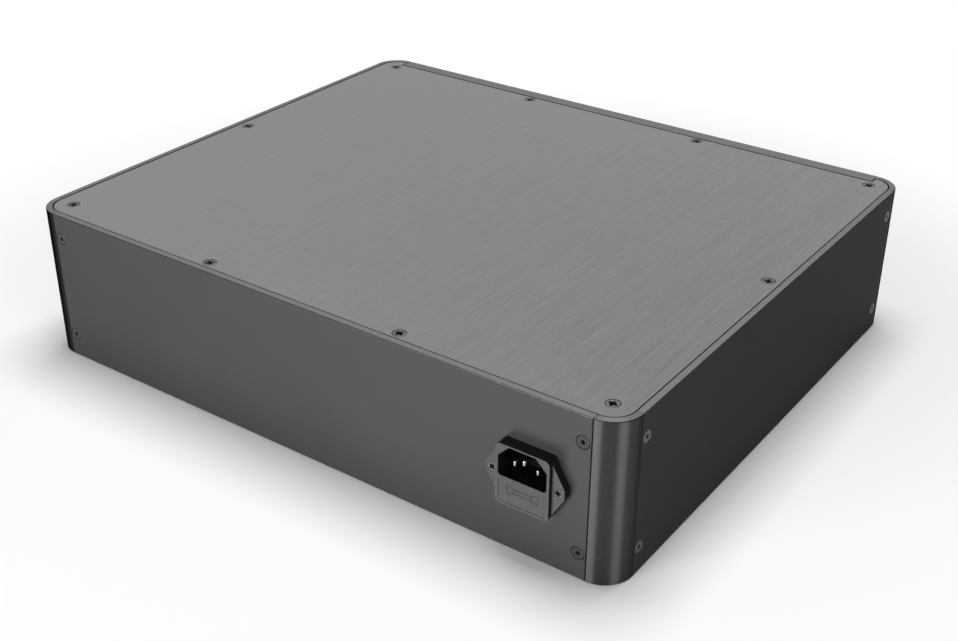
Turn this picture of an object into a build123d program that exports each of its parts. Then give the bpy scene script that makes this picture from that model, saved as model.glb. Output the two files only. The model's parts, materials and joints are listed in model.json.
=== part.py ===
from build123d import *
import os

# Aluminium amplifier chassis with a fused mains inlet in its rear panel.
# Millimetres. X runs to the right seen from the front, the front faces -Y,
# Z is up, and the origin is the middle of the underside between the front
# and rear panels.

# Closed box
width = 428.0
depth = 360.0
height = 100.0
corner_radius = 17.7        # pillars end where their curve ends
wall = 4.0                  # rear and side panels, and the pillars' rim
front_wall = 10.0
edge_round = 0.6            # top and bottom edges of panels and pillars
edge_chamfer = 0.3          # sharp edges at seams and on the covers
seam_gap = 0.3              # between a panel's end and its pillar

# Covers
cover_thickness = 3.0
cover_recess = 0.2          # how far the top cover lies below the rim
cover_gap = 0.6             # groove between cover and rim
foot_hole = 3.3             # tapping size of the foot threads
foot_inset_x = 45.0
foot_inset_y = 45.0

# Corner pillars
port_inset = 17.2           # cover screw's axis from both outer faces
port_wall = 3.2             # metal round the cover screw's hole
wing_thickness = 8.0        # wing behind a panel, which takes its screws
pillar_web = 3.0            # between the pillar's pocket and its end faces
screw_edge = 6.0            # metal kept beyond a screw's axis

# Panel screws
panel_screw_inset = 22.9    # axis from the next outer face round the corner
front_screw_inset = 30.0    # the same for the hidden front screws
panel_screw_height = 16.0   # axis from the base, and from the top

# Cover screws between the corners
rear_cover_inset = 10.0     # axis from the rear face
front_cover_inset = 15.5
side_cover_inset = 11.6
cover_screw_spread = 70.0   # from the middle, along the long sides
flange_thickness = 6.0

# Rails behind the front panel
rail_height = 8.0
rail_end_gap = 0.3
rail_screw_pitch = 120.0
thread_depth = 7.0          # blind threads in the front panel

# Fasteners
m4_shank = 4.0
m4_head = 7.5               # countersunk head
m4_length = 10.0
m4_cap = 7.6                # pan head of the hidden screws
m4_cap_height = 2.6
thread_engagement = 6.0     # of a hidden screw in the front panel
m3_shank = 3.0
m3_head = 5.5
m3_length = 12.0
m3_nut_flats = 5.5
m3_nut_height = 2.4
thread_clearance = 0.05     # shank to tapped hole, on the radius
pass_clearance = 0.2        # shank to through hole, on the radius
head_clearance = 0.05       # head to countersink
head_sink = 0.1             # head's top below the surface
head_land = 0.25            # straight edge of a countersunk head
recess_depth = 1.9
recess_taper = 8.0
cross_reach = 0.66          # cross recess, share of the head's width
cross_blade = 0.2           # width of its slots, share of the head's width
hex_flats = 2.5

# Mains inlet, measured from the rear face and from the flange's middle
inlet_inset = 53.0          # its axis from the left outer face
inlet_z = 52.0
flange_depth = 5.0
flange_half_height = 18.3
flange_half_top = 14.9
ear_reach = 24.0
ear_shoulder = 22.6
ear_half_height = 5.1
flange_corner = 1.5
moulding_round = 0.5        # front edges of the flange and the block
inlet_screw_pitch = 40.0
block_width = 33.0
block_height = 37.0
block_depth = 7.8
block_corner = 3.3
body_width = 32.0
body_height = 36.4
body_corner = 2.5
body_clearance = 0.3        # body to the panel's cut-out
socket_width = 29.4
socket_height = 18.4
socket_centre = 8.25
socket_chamfer = 6.6
socket_corner = 2.0
mouth_chamfer = 0.4         # round the socket's front edge
socket_depth = 17.0
socket_floor = 2.8
bay_width = 28.0
bay_height = 14.4
bay_centre = -9.4
bay_back = 21.0             # inside end of the fuse bay behind the rear face
bay_wall = 1.2

# Blades
blade_width = 2.0
blade_height = 4.0
blade_spread = 7.0          # line and neutral from the middle
blade_offset = 2.0          # all three from the socket's centre line
blade_tip = 3.8             # below the block's face
earth_lead = 2.0            # earth blade stands this much further out
blade_chamfer = 0.7
tab_thickness = 0.8
tab_width = 6.3
tab_length = 9.0
fit_clearance = 0.1

# Fuse drawer, fuses and contacts
drawer_clearance = 0.15
drawer_plate = 3.0
drawer_sink = 0.15          # its face below the block's
tongue_width = 9.0          # pull tongue, which reaches up to the socket
tray_width = 25.6
tray_height = 8.6
tray_floor = 1.5
tray_length = 22.0
seat_width = 19.4           # narrow end of the tray, between the contacts
seat_length = 13.0
fuse_length = 20.0
fuse_diameter = 5.2
glass_diameter = 4.8
glass_wall = 0.5
cap_length = 5.5
cap_wall = 0.15
trough_clearance = 0.3
fuse_inset = 5.0            # working fuse's axis from the tray's inner end
spare_inset = 4.2           # spare fuse's axis behind the drawer's plate
contact_thickness = 0.6
contact_gap = 0.15
contact_nose = 3.5          # length of the contact past the fuse's axis

past = 1.0                  # how far a cutter runs past the face it opens

# Worked out from the sizes above
seat_high = height - cover_recess - cover_thickness
seat_low = cover_thickness
rear_half = width / 2 - corner_radius - seam_gap
side_half = depth / 2 - corner_radius - seam_gap
wing_reach = panel_screw_inset + screw_edge
front_wing_reach = front_screw_inset + screw_edge
tapped = m4_shank / 2 + thread_clearance
port_radius = tapped + port_wall
screw_heights = (panel_screw_height, height - panel_screw_height)
rail_half = width / 2 - front_wing_reach - rail_end_gap
rail_depth = front_cover_inset + screw_edge - front_wall
rail_screws = (-rail_screw_pitch, 0, rail_screw_pitch)
inlet_x = inlet_inset - width / 2
bay_floor = bay_centre - bay_height / 2
drawer_height = bay_height - 2 * drawer_clearance
drawer_face = block_depth - drawer_sink
plate_back = drawer_face - drawer_plate
tray_bottom = bay_floor + drawer_clearance
tray_back = plate_back - tray_length
fuse_z = tray_bottom + tray_floor + trough_clearance + fuse_diameter / 2
fuse_y = tray_back + fuse_inset
spare_y = plate_back - spare_inset

# Turns that point a screw, drawn with its head up, out of each face
face_up = Rot(0, 0, 0)
face_down = Rot(180, 0, 0)
face_rear = Rot(-90, 0, 0)
face_right = Rot(0, 90, 0)
face_left = Rot(0, -90, 0)


def at(points, shape):
    """Copies of a shape at a list of places, as separate solids."""
    return Compound(children=[place * shape for place in points])


def solid_rod(radius, bottom, top):
    """Upright rod between two heights."""
    return Pos(0, 0, (bottom + top) / 2) * Cylinder(radius, top - bottom)


def cross_sketch(head):
    """Outline of a cross recess."""
    reach = head * cross_reach
    blade = head * cross_blade
    return Rectangle(reach, blade) + Rectangle(blade, reach)


def hex_sketch():
    """Outline of a socket for a hexagon key."""
    return RegularPolygon(hex_flats / 2, 6, major_radius=False)


def countersunk_screw(shank, head, length, drive):
    """Countersunk screw with its head's top at the origin, pointing down."""
    cone = (head - shank) / 2
    profile = Polyline(
        (0, 0),
        (head / 2, 0),
        (head / 2, -head_land),
        (shank / 2, -head_land - cone),
        (shank / 2, -length + edge_round),
        (shank / 2 - edge_round, -length),
        (0, -length),
        close=True,
    )
    body = revolve(Plane.XZ * make_face(profile), Axis.Z)
    return body - extrude(drive, amount=-recess_depth, taper=recess_taper)


def countersink(shank, head, depth):
    """Cutter for a hole countersunk right up to its mouth at the origin."""
    hole = shank / 2 + pass_clearance
    mouth = head / 2 + head_clearance + head_sink + head_land
    profile = Polyline(
        (0, past),
        (mouth, past),
        (mouth, 0),
        (hole, hole - mouth),
        (hole, -depth - past),
        (0, -depth - past),
        close=True,
    )
    return revolve(Plane.XZ * make_face(profile), Axis.Z)


def pan_screw(length):
    """Pan head screw with the underside of its head at the origin."""
    head = solid_rod(m4_cap / 2, 0, m4_cap_height)
    head = fillet(head.edges().group_by(Axis.Z)[-1], m4_cap_height / 2)
    shank = solid_rod(m4_shank / 2, -length, 0)
    drive = extrude(Pos(0, 0, m4_cap_height) * cross_sketch(m4_cap), -recess_depth)
    return head + shank - drive


def cover_places():
    """Places of a cover's ten screws, seen from above."""
    corner_x = width / 2 - port_inset
    corner_y = depth / 2 - port_inset
    places = [(x, y) for x in (-corner_x, corner_x) for y in (-corner_y, corner_y)]
    places += [(x, depth / 2 - rear_cover_inset) for x in (-cover_screw_spread, cover_screw_spread)]
    places += [(x, front_cover_inset - depth / 2) for x in (-cover_screw_spread, cover_screw_spread)]
    places += [(x, 0) for x in (side_cover_inset - width / 2, width / 2 - side_cover_inset)]
    return places


def cover():
    """A cover with its outer face at height 0 and its body below."""
    inset = wall + cover_gap
    outline = RectangleRounded(width - 2 * inset, depth - 2 * inset, corner_radius - inset)
    notch_depth = front_wall + cover_gap
    notch = Rectangle(2 * (rear_half + cover_gap), notch_depth)
    outline -= Pos(0, (notch_depth - depth) / 2) * notch
    plate = extrude(outline, amount=-cover_thickness)
    plate = chamfer(plate.edges().group_by(Axis.Z)[-1], edge_chamfer)
    cutter = countersink(m4_shank, m4_head, cover_thickness)
    for x, y in cover_places():
        plate -= Pos(x, y, 0) * cutter
    return plate


def bottom_plate():
    """The lower cover, with threaded holes for feet."""
    plate = mirror(cover(), about=Plane.XY)
    for x in (foot_inset_x - width / 2, width / 2 - foot_inset_x):
        for y in (foot_inset_y - depth / 2, depth / 2 - foot_inset_y):
            plate -= Pos(x, y, 0) * solid_rod(foot_hole / 2, -past, cover_thickness + past)
    return plate


def upright_plate(half_length, thickness):
    """Plain wall panel in X, standing on z = 0 with its outer face on y = 0."""
    plate = Pos(0, -thickness / 2, height / 2) * Box(2 * half_length, thickness, height)
    outer = plate.edges().group_by(Axis.Y)[-1]
    plate = chamfer(outer.filter_by(Axis.Z), edge_chamfer)
    outer = plate.edges().group_by(Axis.Y)[-1]
    return fillet(outer.filter_by(Axis.X), edge_round)


def flange(half_length, cover_inset, places, middle):
    """Inner flange of a wall panel, threaded for a cover's screws."""
    reach = cover_inset + screw_edge - wall
    bar = Box(2 * half_length, reach, flange_thickness)
    bar = Pos(0, -wall - reach / 2, middle) * bar
    for x in places:
        hole = solid_rod(tapped, middle - flange_thickness, middle + flange_thickness)
        bar -= Pos(x, -cover_inset, 0) * hole
    return bar


def wall_panel(half_length, cover_inset, corner, places):
    """Flanged wall panel with four countersunk holes, in its own frame."""
    panel = upright_plate(half_length, wall)
    for middle in (seat_low + flange_thickness / 2, seat_high - flange_thickness / 2):
        panel += flange(corner - wing_reach - seam_gap, cover_inset, places, middle)
    for place in panel_places(corner):
        panel -= place * countersink(m4_shank, m4_head, wall)
    return panel


def panel_places(corner):
    """Places of a wall panel's four screws, in the panel's own frame."""
    xs = (panel_screw_inset - corner, corner - panel_screw_inset)
    return [Pos(x, 0, z) * face_rear for x in xs for z in screw_heights]


def rear_panel():
    """Rear wall with the inlet's cut-out and screw holes."""
    spread = (-cover_screw_spread, cover_screw_spread)
    panel = Pos(0, depth / 2, 0) * wall_panel(rear_half, rear_cover_inset, width / 2, spread)
    grow = 2 * body_clearance
    opening = RectangleRounded(body_width + grow, body_height + grow, body_corner + body_clearance)
    panel -= inlet_slab(opening, -wall - past, past)
    for place in inlet_screw_places(0):
        panel -= place * solid_rod(m3_shank / 2 + pass_clearance, -wall - past, past)
    return panel


def side_panel(place):
    """Side wall, turned to its side of the box."""
    return place * wall_panel(side_half, side_cover_inset, depth / 2, (0,))


right_place = Pos(width / 2, 0, 0) * Rot(0, 0, -90)
left_place = Pos(-width / 2, 0, 0) * Rot(0, 0, 90)


def front_panel():
    """Thick front wall with blind threads in its back."""
    panel = Pos(0, -depth / 2, 0) * Rot(0, 0, 180) * upright_plate(rear_half, front_wall)
    for place in front_screw_places() + rail_screw_places():
        drill = solid_rod(tapped, -thread_depth, past)
        panel -= place * drill
    return panel


def front_screw_places():
    """Where the front panel's screws enter its back."""
    back = front_wall - depth / 2
    xs = (front_screw_inset - width / 2, width / 2 - front_screw_inset)
    return [Pos(x, back, z) * face_rear for x in xs for z in screw_heights]


def rail_centre(top):
    """Height of a rail's middle."""
    return seat_high - rail_height / 2 if top else seat_low + rail_height / 2


def rail_screw_places():
    """Where the rails' screws enter the front panel's back."""
    back = front_wall - depth / 2
    heights = (rail_centre(False), rail_centre(True))
    return [Pos(x, back, z) * face_rear for x in rail_screws for z in heights]


def front_rail(top):
    """Bar behind the front panel that carries a cover's front screws."""
    middle = front_wall + rail_depth / 2 - depth / 2
    z = rail_centre(top)
    rail = Pos(0, middle, z) * Box(2 * rail_half, rail_depth, rail_height)
    rail = chamfer(rail.edges().filter_by(Axis.X), edge_chamfer)
    for x in (-cover_screw_spread, cover_screw_spread):
        hole = solid_rod(tapped, -rail_height, rail_height)
        rail -= Pos(x, front_cover_inset - depth / 2, z) * hole
    for x in rail_screws:
        hole = solid_rod(m4_shank / 2 + pass_clearance, -past, rail_depth + past)
        rail -= Pos(x, front_wall - depth / 2, z) * face_rear * hole
    return rail


def rim():
    """The pillar's outer quarter ring, with the outer corner at the origin."""
    outline = Pos(corner_radius - wall / 2, height / 2) * Rectangle(wall, height)
    outline = fillet(outline.vertices().group_by(Axis.X)[-1], edge_round)
    ring = revolve(Plane.XZ * outline, Axis.Z, revolution_arc=90)
    return Pos(-corner_radius, -corner_radius, 0) * ring


def seam_cutter():
    """Square bar, set cornerwise, that takes the edge off a pillar's seam."""
    side = edge_chamfer * 2 ** 0.5
    return Pos(0, 0, height / 2) * Rot(0, 0, 45) * Box(side, side, 2 * height)


def core_sketch(end_wall, end_reach):
    """The pillar's section between the covers, end_wall behind the end panel."""
    r = corner_radius
    quarter = Pos(-r, -r) * (Circle(r) & Pos(r / 2, r / 2) * Rectangle(r, r))
    start = r - pillar_web
    end_wing = Rectangle(end_reach - start, wing_thickness)
    side_wing = Rectangle(wing_thickness, wing_reach - start)
    port = Pos(-port_inset, -port_inset)
    core = quarter + port * Circle(port_radius)
    core += Pos(-(start + end_reach) / 2, -end_wall - wing_thickness / 2) * end_wing
    core += Pos(-wall - wing_thickness / 2, -(start + wing_reach) / 2) * side_wing
    reach = start - wall
    pocket = Pos(-r, -r) * Circle(r - wall)
    pocket &= Pos(-start + reach / 2, -start + reach / 2) * Rectangle(reach, reach)
    core -= pocket - port * Circle(port_radius)
    return core - port * Circle(tapped)


def pillar(end_wall, end_reach):
    """Corner pillar of the rear right corner, with that corner at the origin."""
    core = extrude(core_sketch(end_wall, end_reach), seat_high - seat_low)
    post = rim() + Pos(0, 0, seat_low) * core
    post -= Pos(-corner_radius, 0, 0) * seam_cutter()
    return post - Pos(0, -corner_radius, 0) * seam_cutter()


def drill_wing(post, x, y, turn, radius):
    """Two holes through a pillar's wing, one near each end."""
    for z in screw_heights:
        post -= Pos(x, y, z) * turn * solid_rod(radius, -wing_thickness, wing_thickness)
    return post


def rear_pillar():
    """Rear right pillar in place."""
    post = pillar(wall, wing_reach)
    post = drill_wing(post, -panel_screw_inset, -wall - wing_thickness / 2, face_rear, tapped)
    post = drill_wing(post, -wall - wing_thickness / 2, -panel_screw_inset, face_right, tapped)
    return Pos(width / 2, depth / 2, 0) * post


def front_pillar():
    """Front right pillar in place, its end wing behind the thick front panel."""
    post = pillar(front_wall, front_wing_reach)
    through = m4_shank / 2 + pass_clearance
    back = -front_wall - wing_thickness / 2
    post = drill_wing(post, -front_screw_inset, back, face_rear, through)
    post = drill_wing(post, -wall - wing_thickness / 2, -panel_screw_inset, face_right, tapped)
    return Pos(width / 2, -depth / 2, 0) * mirror(post, about=Plane.XZ)


def inlet_slab(sketch, inner, outer):
    """A sketch drawn in the rear face about the inlet's middle, given depth."""
    middle = Pos(inlet_x, depth / 2, inlet_z)
    return middle * extrude(Plane.XZ.offset(-inner) * sketch, amount=inner - outer)


def inlet_screw_places(out):
    """The inlet's two screws, out from the rear face."""
    half = inlet_screw_pitch / 2
    return [Pos(inlet_x + x, depth / 2 + out, inlet_z) * face_rear for x in (-half, half)]


def flange_sketch():
    """Six-sided flange with blunt ears."""
    right = [
        (flange_half_top, flange_half_height),
        (ear_shoulder, ear_half_height),
        (ear_reach, ear_half_height / 2),
        (ear_reach, -ear_half_height / 2),
        (ear_shoulder, -ear_half_height),
        (flange_half_top, -flange_half_height),
    ]
    left = [(-x, -z) for x, z in right]
    outline = make_face(Polyline(*right, *left, close=True))
    return fillet(outline.vertices(), flange_corner)


def socket_sketch():
    """Socket outline: two chamfered upper corners, two rounded lower ones."""
    outline = Pos(0, socket_centre) * Rectangle(socket_width, socket_height)
    corners = outline.vertices().group_by(Axis.Y)
    outline = chamfer(corners[-1], socket_chamfer)
    return fillet(outline.vertices().group_by(Axis.Y)[0], socket_corner)


def blade_places():
    """Blade name to its place in the socket and the depth of its tip."""
    low = socket_centre - blade_offset
    high = socket_centre + blade_offset
    tip = block_depth - blade_tip
    return {
        "line": (blade_spread, low, tip),
        "neutral": (-blade_spread, low, tip),
        "earth": (0, high, tip + earth_lead),
    }


def blade(x, z, tip):
    """Flat blade with a chamfered tip and a tab behind the housing."""
    back = block_depth - socket_depth - socket_floor
    bar = inlet_slab(Pos(x, z) * Rectangle(blade_width, blade_height), back, tip)
    bar = chamfer(bar.edges().group_by(Axis.Y)[-1], blade_chamfer)
    return bar + inlet_slab(Pos(x, z) * Rectangle(tab_thickness, tab_width), back - tab_length, back)


def contact_line(side):
    """Plan of a fuse contact: along the bay's wall, then out to the fuse's cap."""
    wall_x = bay_width / 2 - fit_clearance - contact_thickness / 2
    nose_x = fuse_length / 2 + contact_gap + contact_thickness / 2
    back = -bay_back - bay_wall - tab_length
    return Polyline(
        (side * wall_x, back),
        (side * wall_x, -bay_back + bay_wall),
        (side * nose_x, fuse_y),
        (side * (nose_x + contact_nose / 2), fuse_y + contact_nose),
    )


def fuse_contact(side):
    """Sprung strip that meets one cap of the fuse and ends in a tab."""
    strip = extrude(trace(contact_line(side), contact_thickness), amount=tab_width / 2, both=True)
    return Pos(inlet_x, depth / 2, inlet_z + fuse_z) * strip


def contact_slot(side):
    """Cutter for the slot that a contact passes through."""
    wall_x = bay_width / 2 - fit_clearance - contact_thickness / 2
    grow = 2 * fit_clearance
    slot = Rectangle(contact_thickness + grow, tab_width + grow)
    return inlet_slab(Pos(side * wall_x, fuse_z) * slot, -bay_back - bay_wall - past, -bay_back + past)


def rounded_slab(sketch, outer):
    """A sketch given depth from the rear face out, with its front edges rounded."""
    slab = inlet_slab(sketch, 0, outer)
    front = slab.faces().sort_by(Axis.Y)[-1]
    return fillet(front.edges(), moulding_round)


def tongue_sketch(grow):
    """Outline of the drawer's pull tongue, from the drawer up to the socket."""
    socket_low = socket_centre - socket_height / 2
    reach = socket_low - bay_centre
    return Pos(0, bay_centre + reach / 2) * Rectangle(tongue_width + 2 * grow, reach)


def inlet_housing():
    """Moulded housing: flange, raised block, socket above and fuse bay below."""
    socket_end = block_depth - socket_depth
    shelf = bay_centre + bay_height / 2 + bay_wall
    body = RectangleRounded(body_width, body_height, body_corner)
    low_side = Pos(0, shelf - body_height) * Rectangle(2 * body_width, 2 * body_height)
    housing = rounded_slab(flange_sketch(), flange_depth)
    housing += rounded_slab(RectangleRounded(block_width, block_height, block_corner), block_depth)
    housing += inlet_slab(body, socket_end - socket_floor, 0)
    housing += inlet_slab(body & low_side, -bay_back - bay_wall, 0)
    housing -= inlet_slab(socket_sketch(), socket_end, block_depth + past)
    mouth = housing.faces().sort_by(Axis.Y)[-1].inner_wires()[0]
    housing = chamfer(mouth.edges(), mouth_chamfer)
    bay = Pos(0, bay_centre) * Rectangle(bay_width, bay_height)
    housing -= inlet_slab(bay, -bay_back, block_depth + past)
    notch = tongue_sketch(drawer_clearance)
    housing -= inlet_slab(notch, plate_back - drawer_clearance, block_depth + past)
    for x, z, _ in blade_places().values():
        grow = 2 * fit_clearance
        slot = Pos(x, z) * Rectangle(blade_width + grow, blade_height + grow)
        housing -= inlet_slab(slot, socket_end - socket_floor - past, socket_end + past)
    for side in (-1, 1):
        housing -= contact_slot(side)
    for place in inlet_screw_places(flange_depth):
        housing -= place * countersink(m3_shank, m3_head, flange_depth)
    return housing


def trough(length, y):
    """Cutter for a round-bottomed trough that a fuse lies in."""
    radius = fuse_diameter / 2 + trough_clearance
    round_part = Pos(0, y, fuse_z) * face_right * Cylinder(radius, length)
    mouth = Pos(0, y, fuse_z + tray_height / 2) * Box(length, 2 * radius, tray_height)
    return round_part + mouth


def fuse_drawer():
    """Drawer with a tongued plate, a fuse seat at its inner end and a spare's trough."""
    plate_width = bay_width - 2 * drawer_clearance
    face = Pos(0, bay_centre) * Rectangle(plate_width, drawer_height)
    drawer = inlet_slab(face + tongue_sketch(0), plate_back, drawer_face)
    front = drawer.faces().sort_by(Axis.Y)[-1]
    drawer = chamfer(front.edges().group_by(Axis.Z)[-1], mouth_chamfer - drawer_sink)
    tray_z = tray_bottom + tray_height / 2
    wide = Pos(0, tray_z) * Rectangle(tray_width, tray_height)
    narrow = Pos(0, tray_z) * Rectangle(seat_width, tray_height)
    drawer += inlet_slab(wide, tray_back + seat_length, plate_back)
    drawer += inlet_slab(narrow, tray_back, plate_back)
    middle = Pos(inlet_x, depth / 2, inlet_z)
    drawer -= middle * trough(seat_width + 2, fuse_y)
    return drawer - middle * trough(fuse_length + 2 * trough_clearance, spare_y)


def fuse_glass(y):
    """Glass tube of a fuse."""
    tube = Cylinder(glass_diameter / 2, fuse_length - 2 * cap_wall)
    tube -= Cylinder(glass_diameter / 2 - glass_wall, fuse_length)
    return Pos(inlet_x, depth / 2 + y, inlet_z + fuse_z) * face_right * tube


def fuse_caps(y):
    """Two end caps of a fuse."""
    bore = glass_diameter / 2 + thread_clearance
    cap = solid_rod(fuse_diameter / 2, fuse_length / 2 - cap_length, fuse_length / 2)
    cap -= solid_rod(bore, 0, fuse_length / 2 - cap_wall)
    middle = Pos(inlet_x, depth / 2 + y, inlet_z + fuse_z)
    return at([middle * face_right, middle * face_left], cap)


def nut():
    """Hexagon nut on its seat at the origin, standing up."""
    shape = RegularPolygon(m3_nut_flats / 2, 6, major_radius=False)
    shape -= Circle(m3_shank / 2 + thread_clearance)
    return extrude(shape, amount=m3_nut_height)


def cover_screw_places(height_of_face, turn):
    """Places of a cover's screws, just under its face."""
    return [Pos(x, y, height_of_face) * turn for x, y in cover_places()]


def sunk_panel_places(place, corner):
    """Places of a wall panel's screws, just under its outer face."""
    sunk = Pos(0, 0, -head_sink)
    return [place * spot * sunk for spot in panel_places(corner)]


def build():
    """Every node's shape by name."""
    cross = cross_sketch(m4_head)
    cover_screw = countersunk_screw(m4_shank, m4_head, m4_length, cross)
    panel_screw = countersunk_screw(m4_shank, m4_head, m4_length, hex_sketch())
    flange_screw = countersunk_screw(m3_shank, m3_head, m3_length, cross_sketch(m3_head))
    top_face = height - cover_recess
    right_rear = rear_pillar()
    right_front = front_pillar()
    nodes = {
        "front_panel": front_panel(),
        "rear_panel": rear_panel(),
        "left_side_panel": side_panel(left_place),
        "right_side_panel": side_panel(right_place),
        "rear_right_pillar": right_rear,
        "rear_left_pillar": mirror(right_rear, about=Plane.YZ),
        "front_right_pillar": right_front,
        "front_left_pillar": mirror(right_front, about=Plane.YZ),
        "top_cover": Pos(0, 0, top_face) * cover(),
        "bottom_plate": bottom_plate(),
        "front_top_rail": front_rail(True),
        "front_bottom_rail": front_rail(False),
        "top_cover_screws": at(cover_screw_places(top_face - head_sink, face_up), cover_screw),
        "bottom_plate_screws": at(cover_screw_places(head_sink, face_down), cover_screw),
        "rear_panel_screws": at(
            sunk_panel_places(Pos(0, depth / 2, 0), width / 2), panel_screw
        ),
        "left_side_screws": at(sunk_panel_places(left_place, depth / 2), panel_screw),
        "right_side_screws": at(sunk_panel_places(right_place, depth / 2), panel_screw),
        "front_panel_screws": at(
            [place * Pos(0, 0, wing_thickness) for place in front_screw_places()],
            pan_screw(wing_thickness + thread_engagement),
        ),
        "rail_screws": at(
            [place * Pos(0, 0, rail_depth) for place in rail_screw_places()],
            pan_screw(rail_depth + thread_engagement),
        ),
        "inlet_housing": inlet_housing(),
        "inlet_screws": at(inlet_screw_places(flange_depth - head_sink), flange_screw),
        "inlet_nuts": at([p * Pos(0, 0, -m3_nut_height) for p in inlet_screw_places(-wall)], nut()),
        "line_fuse_contact": fuse_contact(1),
        "load_fuse_contact": fuse_contact(-1),
        "fuse_drawer": fuse_drawer(),
        "fuse_glass": fuse_glass(fuse_y),
        "fuse_caps": fuse_caps(fuse_y),
        "spare_fuse_glass": fuse_glass(spare_y),
        "spare_fuse_caps": fuse_caps(spare_y),
    }
    for name, (x, z, tip) in blade_places().items():
        nodes[name + "_blade"] = blade(x, z, tip)
    return nodes


os.makedirs("parts", exist_ok=True)
for node, shape in build().items():
    export_step(shape, "parts/" + node + ".step")
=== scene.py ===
import json
import math

import bmesh
import bpy
from mathutils import Matrix, Quaternion, Vector


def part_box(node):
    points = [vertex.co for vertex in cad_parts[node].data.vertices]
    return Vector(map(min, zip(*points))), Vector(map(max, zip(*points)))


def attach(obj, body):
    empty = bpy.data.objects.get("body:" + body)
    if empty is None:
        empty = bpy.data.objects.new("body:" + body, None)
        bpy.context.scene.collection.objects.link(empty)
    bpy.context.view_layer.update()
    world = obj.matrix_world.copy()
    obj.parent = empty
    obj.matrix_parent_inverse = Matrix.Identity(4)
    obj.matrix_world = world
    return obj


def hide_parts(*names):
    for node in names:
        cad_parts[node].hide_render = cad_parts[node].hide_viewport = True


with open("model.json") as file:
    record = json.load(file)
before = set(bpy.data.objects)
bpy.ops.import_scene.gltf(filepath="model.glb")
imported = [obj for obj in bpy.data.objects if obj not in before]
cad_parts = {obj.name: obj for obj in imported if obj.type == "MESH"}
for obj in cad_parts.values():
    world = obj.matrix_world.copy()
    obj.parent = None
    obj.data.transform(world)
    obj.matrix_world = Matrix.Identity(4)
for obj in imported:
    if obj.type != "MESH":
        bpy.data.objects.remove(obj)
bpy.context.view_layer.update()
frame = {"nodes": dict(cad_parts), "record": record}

# Amplifier chassis with a fused mains inlet, seen from its rear left corner.
# Metres, in the frame of the solids: the front faces -Y and the floor is z = 0.

# Camera, fitted to the edges of the box in the photograph
CAMERA_PLACE = Vector((-0.47413, 0.66636, 0.46568))
CAMERA_TARGET = Vector((0.00690, -0.01106, 0.0))
CAMERA_ROLL = math.radians(0.34)
FOCAL_LENGTH = 52.29            # millimetres, on a sensor 36 mm wide

# Studio
FLOOR_SIZE = 12.0
FLOOR_DROP = 0.0002             # floor's top below the underside, so that the two never fight
FLOOR_TONE = 0.88
BOUNCE_TONE = 0.12              # the floor as the object's diffuse light sees it
SWEEP_START = 0.28              # distance at which the floor starts to turn plain white
SWEEP_END = 0.5
AMBIENT = 0.10                  # soft light from all round
BACKDROP_TOP = math.radians(14)     # elevation up to which the backdrop shows white
CEILING_START = math.radians(38)    # elevation from which only the dim ceiling shows
CEILING = 0.15                  # strength of that ceiling

# Places on the object that finishes depend on
REAR_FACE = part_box("rear_panel")[1].y
BOX_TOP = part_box("rear_panel")[1].z
EDGE_ROUND = 0.0006             # radius along the top of the panels and pillars
SQUARE_FACE = 0.99              # largest part of the normal, on a face square to the box
SLANTED_FACE = 0.85             # and on one that is plainly slanted
EDGE_TILT = 0.06                # upward part of the normal, where an upright face rounds over
LEVEL_FACE = 0.9                # upward part of the normal, on a sheet's flat side

# Machined rim along the top
RIM_TONE = 0.205
RIM_VARIES = 0.12
RIM_METAL = 0.3                 # a machined rim scatters light evenly
RIM_ROUGHER = 0.25

# Brush marks of a sheet
MARKS_VARY = 0.45               # share of the tone by which they darken and lighten it
HEAVY_AT = -0.2                 # x where the marks are strongest
LIGHT_AT = 0.12                 # x where they are weakest
HEAVY_MARKS = 1.25
LIGHT_MARKS = 0.4
SCRATCH_SHARE = 0.75            # tone of a scratch, against the sheet's
SHEET_STRETCH = 0.5             # how far the marks stretch a highlight
# painted shade on a sheet's chamfers and edges, for the dark gap round it
GAP_SHADE_TONE = 0.02

# Dyed aluminium
ALONG_Z = (math.radians(90), 0.0, 0.0)
QUARTER_TURN = 0.25             # stretches a highlight across the lines, in turns
PILLAR_EDGE_TINT = 0.04         # tone of its shine where it is seen edge on
PANEL_EDGE_TINT = 0.0
SLANT_SHADE_SHARE = 0.35              # tone of the painted shade on a panel's countersinks and slanted edges, against its faces
ROUND_SHADE_SHARE = 0.35              # tone of the painted shade on a pillar's rounded ends, against its sides
PILLAR_STRETCH = 0.93           # how far its draw lines stretch a highlight
EDGE_HIGHLIGHT_SHARE = 1.1                # tone of the painted highlight along a panel's edges, against its faces
EDGE_HIGHLIGHT_GAIN = 4.0

# Plated and moulded parts
CLOUD_SHARE = 0.8               # tone of the darker patches, against the paler ones
OUTER_FACE = 0.5                # rearward part of the normal, on a moulding's outer face, which carries the painted sheen

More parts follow.
